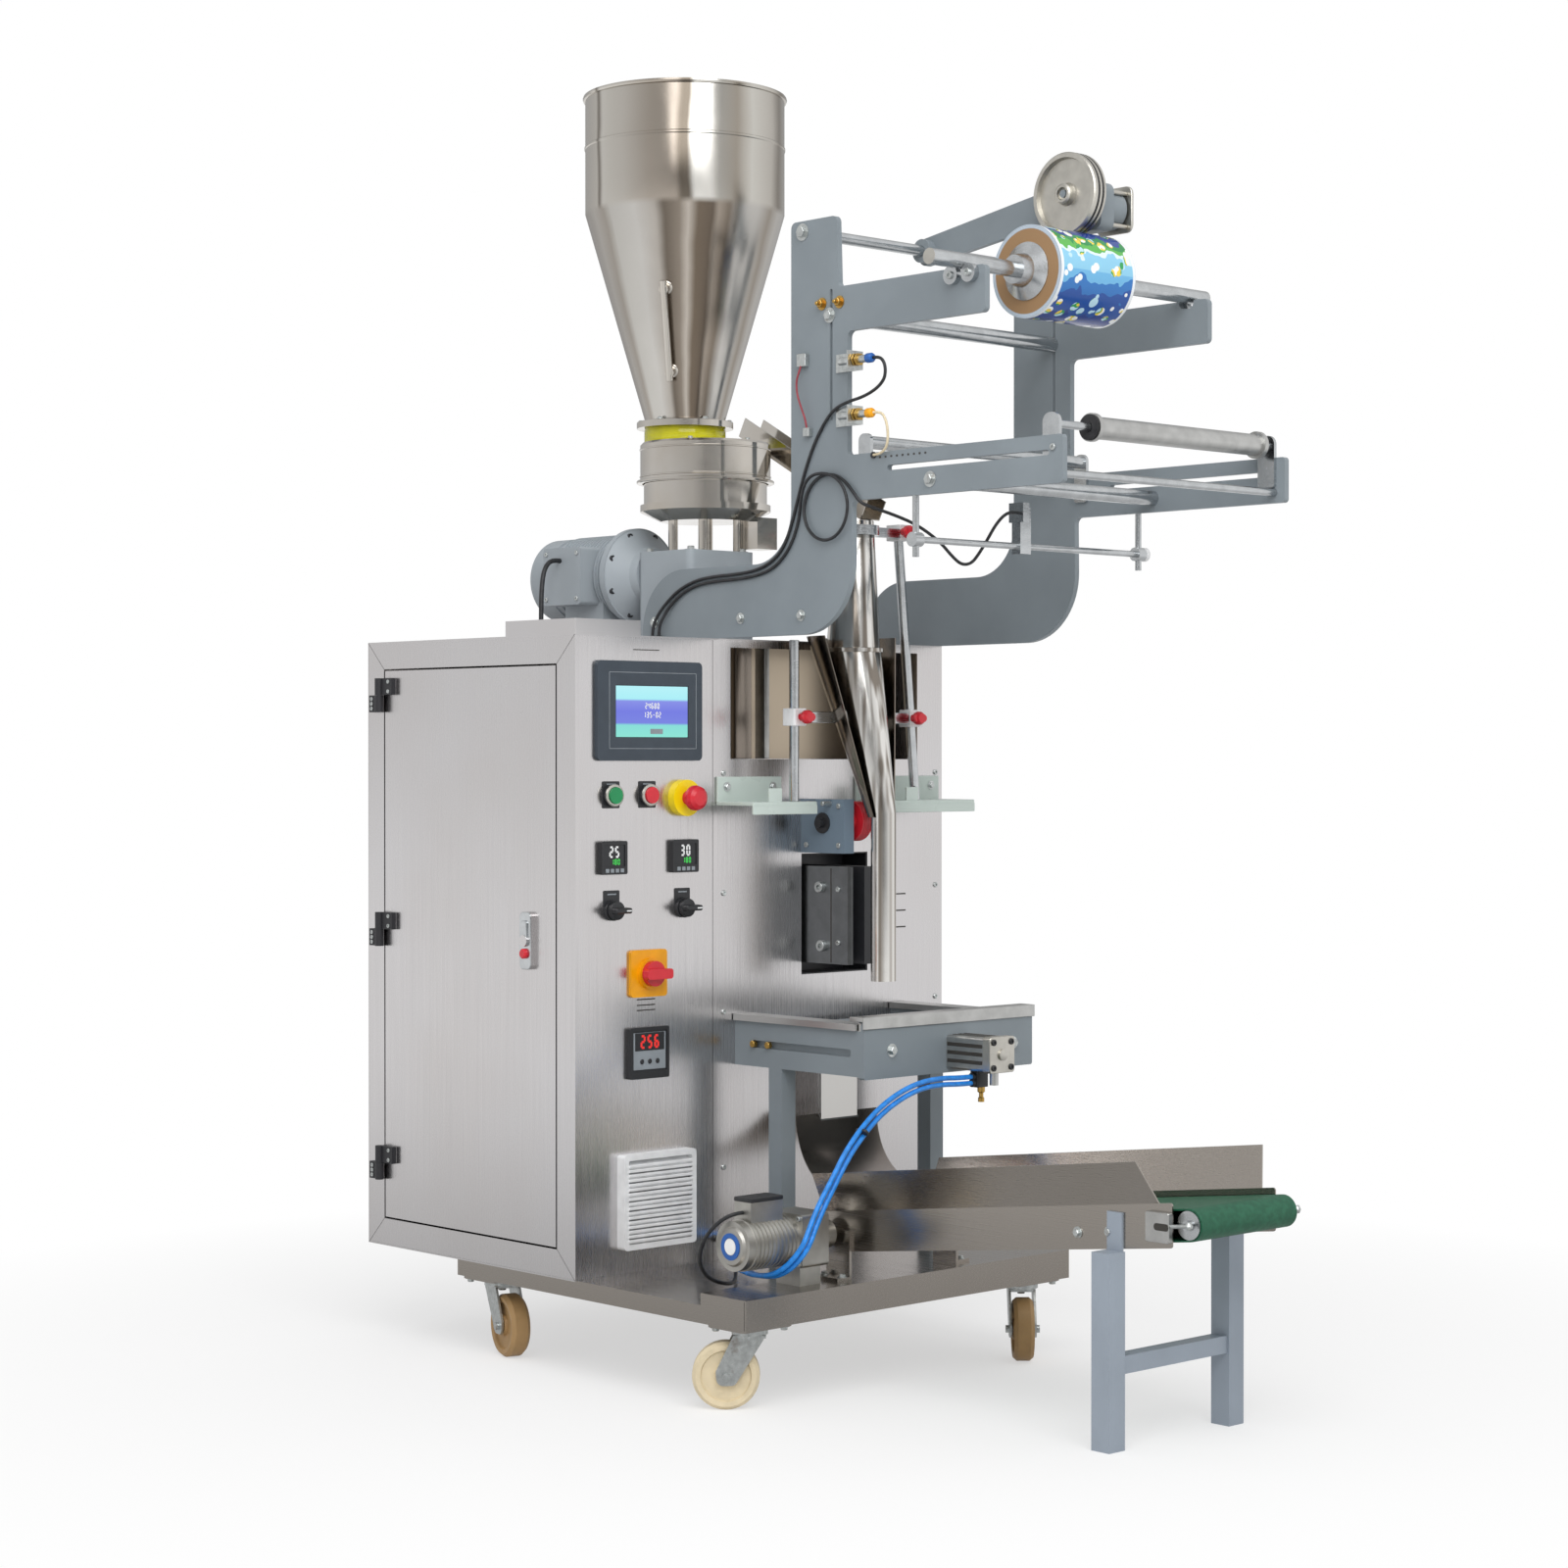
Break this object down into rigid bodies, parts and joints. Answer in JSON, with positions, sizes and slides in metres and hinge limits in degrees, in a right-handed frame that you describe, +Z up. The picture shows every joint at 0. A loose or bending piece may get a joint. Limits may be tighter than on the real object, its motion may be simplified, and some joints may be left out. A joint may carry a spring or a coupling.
{
  "type": "vertical form fill seal machine with cup filler",
  "caption": "Cabinet on castors with a film unwinder, forming tube, sealing jaws, a cup filler under a conical hopper, and a small take-away conveyor.",
  "frame": {"origin": "middle of the footprint, on the floor", "axes": "+X to the right along the cabinet front, +Y to the back, +Z up"},
  "size_m": [0.8624, 1.5778, 2.05],
  "materials": {
    "anodised_aluminium": "satin",
    "black_plastic": "matte",
    "brushed_stainless": "brushed",
    "castor_tyre": "satin",
    "chromed_steel": "polished",
    "green_plastic": "gloss",
    "machine_blue_grey": "satin",
    "printed_film": "gloss",
    "red_plastic": "gloss",
    "rubber_tyre": "matte",
    "screen_bezel": "satin",
    "white_belt": "matte",
    "white_plastic": "matte",
    "yellow_plastic": "gloss"
  },
  "bodies": {
    "machine": {"air_cylinder": "anodised_aluminium", "bag_chute": "brushed_stainless", "base_frame": "brushed_stainless", "button_bezels": "black_plastic", "cabinet_roof": "brushed_stainless", "cabinet_walls": "brushed_stainless", "control_panel": "brushed_stainless", "conveyor_belt": "white_belt", "conveyor_legs": "brushed_stainless", "conveyor_motor": "machine_blue_grey", "conveyor_rollers": "chromed_steel", "conveyor_sides": "brushed_stainless", "cross_rods": "chromed_steel", "door_frame": "brushed_stainless", "feed_chute": "brushed_stainless", "filler_housing": "brushed_stainless", "former_stand": "brushed_stainless", "forming_collar": "brushed_stainless", "forming_tube": "brushed_stainless", "hopper": "brushed_stainless", "left_side_plate": "brushed_stainless", "machine_front_plate": "brushed_stainless", "main_switch_plate": "yellow_plastic", "proximity_sensors": "black_plastic", "right_side_plate": "brushed_stainless", "seal_unit_housing": "black_plastic", "sealing_frame": "brushed_stainless", "sensor_bars": "chromed_steel", "temperature_controllers": "black_plastic", "touch_screen": "screen_bezel", "vent_grille": "white_plastic", "worm_gear_motor": "machine_blue_grey"},
    "side_door": {"side_door": "brushed_stainless"},
    "green_button": {"green_button": "green_plastic"},
    "red_button": {"red_button": "red_plastic"},
    "e_stop_button": {"e_stop_button": "red_plastic"},
    "left_selector_knob": {"left_selector_knob": "black_plastic"},
    "right_selector_knob": {"right_selector_knob": "black_plastic"},
    "main_switch_handle": {"main_switch_handle": "red_plastic"},
    "film_reel": {"film_shaft": "chromed_steel", "film_roll": "printed_film"},
    "swing_arm": {"swing_arm": "anodised_aluminium"},
    "drive_wheel": {"drive_wheel": "rubber_tyre"},
    "front_film_roller": {"front_film_roller": "anodised_aluminium"},
    "metering_cups": {"metering_cups": "brushed_stainless"},
    "film_pull_wheel": {"film_pull_wheel": "red_plastic"},
    "front_sealing_jaw": {"front_sealing_jaw": "anodised_aluminium"},
    "vertical_sealing_jaw": {"vertical_sealing_jaw": "anodised_aluminium"},
    "front_left_castor": {"front_left_castor_fork": "chromed_steel"},
    "front_left_wheel": {"front_left_castor_wheel": "castor_tyre"},
    "front_right_castor": {"front_right_castor_fork": "chromed_steel"},
    "front_right_wheel": {"front_right_castor_wheel": "castor_tyre"},
    "rear_left_castor": {"rear_left_castor_fork": "chromed_steel"},
    "rear_left_wheel": {"rear_left_castor_wheel": "castor_tyre"},
    "rear_right_castor": {"rear_right_castor_fork": "chromed_steel"},
    "rear_right_wheel": {"rear_right_castor_wheel": "castor_tyre"}
  },
  "joints": [
    {"name": "door_hinge", "type": "hinge", "parent": "machine", "child": "side_door", "pos_m": [-0.42279, 0.7459, 0.65], "axis": [0, 0, -1], "range_deg": [0, 110]},
    {"name": "front_left_castor_swivel", "type": "hinge", "parent": "machine", "child": "front_left_castor", "pos_m": [-0.36179, -0.0981, 0.115], "axis": [0, 0, 1], "continuous": true},
    {"name": "front_left_wheel_axle", "type": "hinge", "parent": "front_left_castor", "child": "front_left_wheel", "pos_m": [-0.38739, -0.07423, 0.05], "axis": [0.682, 0.7314, 0], "continuous": true},
    {"name": "front_right_castor_swivel", "type": "hinge", "parent": "machine", "child": "front_right_castor", "pos_m": [0.22621, -0.0981, 0.115], "axis": [0, 0, 1], "continuous": true},
    {"name": "front_right_wheel_axle", "type": "hinge", "parent": "front_right_castor", "child": "front_right_wheel", "pos_m": [0.20234, -0.1237, 0.05], "axis": [-0.7314, 0.682, 0], "continuous": true},
    {"name": "rear_left_castor_swivel", "type": "hinge", "parent": "machine", "child": "rear_left_castor", "pos_m": [-0.36179, 0.4939, 0.115], "axis": [0, 0, 1], "continuous": true},
    {"name": "rear_left_wheel_axle", "type": "hinge", "parent": "rear_left_castor", "child": "rear_left_wheel", "pos_m": [-0.37144, 0.46026, 0.05], "axis": [-0.9613, 0.2756, 0], "continuous": true},
    {"name": "rear_right_castor_swivel", "type": "hinge", "parent": "machine", "child": "rear_right_castor", "pos_m": [0.22621, 0.4939, 0.115], "axis": [0, 0, 1], "continuous": true},
    {"name": "rear_right_wheel_axle", "type": "hinge", "parent": "rear_right_castor", "child": "rear_right_wheel", "pos_m": [0.20614, 0.46523, 0.05], "axis": [-0.8192, 0.5736, 0], "continuous": true},
    {"name": "green_button_press", "type": "slide", "parent": "machine", "child": "green_button", "axis": [0, 1, 0], "range_m": [0, 0.004], "stiffness_N_per_m": 800, "springref_m": -0.001},
    {"name": "red_button_press", "type": "slide", "parent": "machine", "child": "red_button", "axis": [0, 1, 0], "range_m": [0, 0.004], "stiffness_N_per_m": 800, "springref_m": -0.001},
    {"name": "e_stop_press", "type": "slide", "parent": "machine", "child": "e_stop_button", "axis": [0, 1, 0], "range_m": [0, 0.004], "stiffness_N_per_m": 1500, "springref_m": -0.001},
    {"name": "left_selector_turn", "type": "hinge", "parent": "machine", "child": "left_selector_knob", "pos_m": [-0.34179, 0.2239, 0.721], "axis": [0, 1, 0], "range_deg": [0, 90]},
    {"name": "right_selector_turn", "type": "hinge", "parent": "machine", "child": "right_selector_knob", "pos_m": [-0.19579, 0.2239, 0.721], "axis": [0, 1, 0], "range_deg": [0, 90]},
    {"name": "main_switch_turn", "type": "hinge", "parent": "machine", "child": "main_switch_handle", "pos_m": [-0.26879, 0.2239, 0.62], "axis": [0, 1, 0], "range_deg": [0, 90]},
    {"name": "film_reel_spin", "type": "hinge", "parent": "machine", "child": "film_reel", "pos_m": [0.09821, -0.3041, 1.69], "axis": [1, 0, 0], "continuous": true},
    {"name": "swing_arm_lift", "type": "hinge", "parent": "machine", "child": "swing_arm", "pos_m": [0.15621, 0.0409, 1.775], "axis": [-1, 0, 0], "range_deg": [0, 60]},
    {"name": "drive_wheel_spin", "type": "hinge", "parent": "swing_arm", "child": "drive_wheel", "pos_m": [0.13521, -0.28062, 1.82244], "axis": [1, 0, 0], "continuous": true},
    {"name": "front_film_roller_spin", "type": "hinge", "parent": "machine", "child": "front_film_roller", "pos_m": [0.16621, -0.4681, 1.44], "axis": [1, 0, 0], "continuous": true},
    {"name": "metering_cups_turn", "type": "hinge", "parent": "machine", "child": "metering_cups", "pos_m": [-0.01879, 0.3869, 1.396], "axis": [0, 0, 1], "continuous": true},
    {"name": "film_pull_wheel_spin", "type": "hinge", "parent": "machine", "child": "film_pull_wheel", "pos_m": [0.10621, 0.1639, 0.855], "axis": [1, 0, 0], "continuous": true},
    {"name": "front_jaw_close", "type": "slide", "parent": "machine", "child": "front_sealing_jaw", "axis": [0, 1, 0], "range_m": [0, 0.05]},
    {"name": "vertical_jaw_close", "type": "slide", "parent": "machine", "child": "vertical_sealing_jaw", "axis": [1, 0, 0], "range_m": [0, 0.02]}
  ]
}
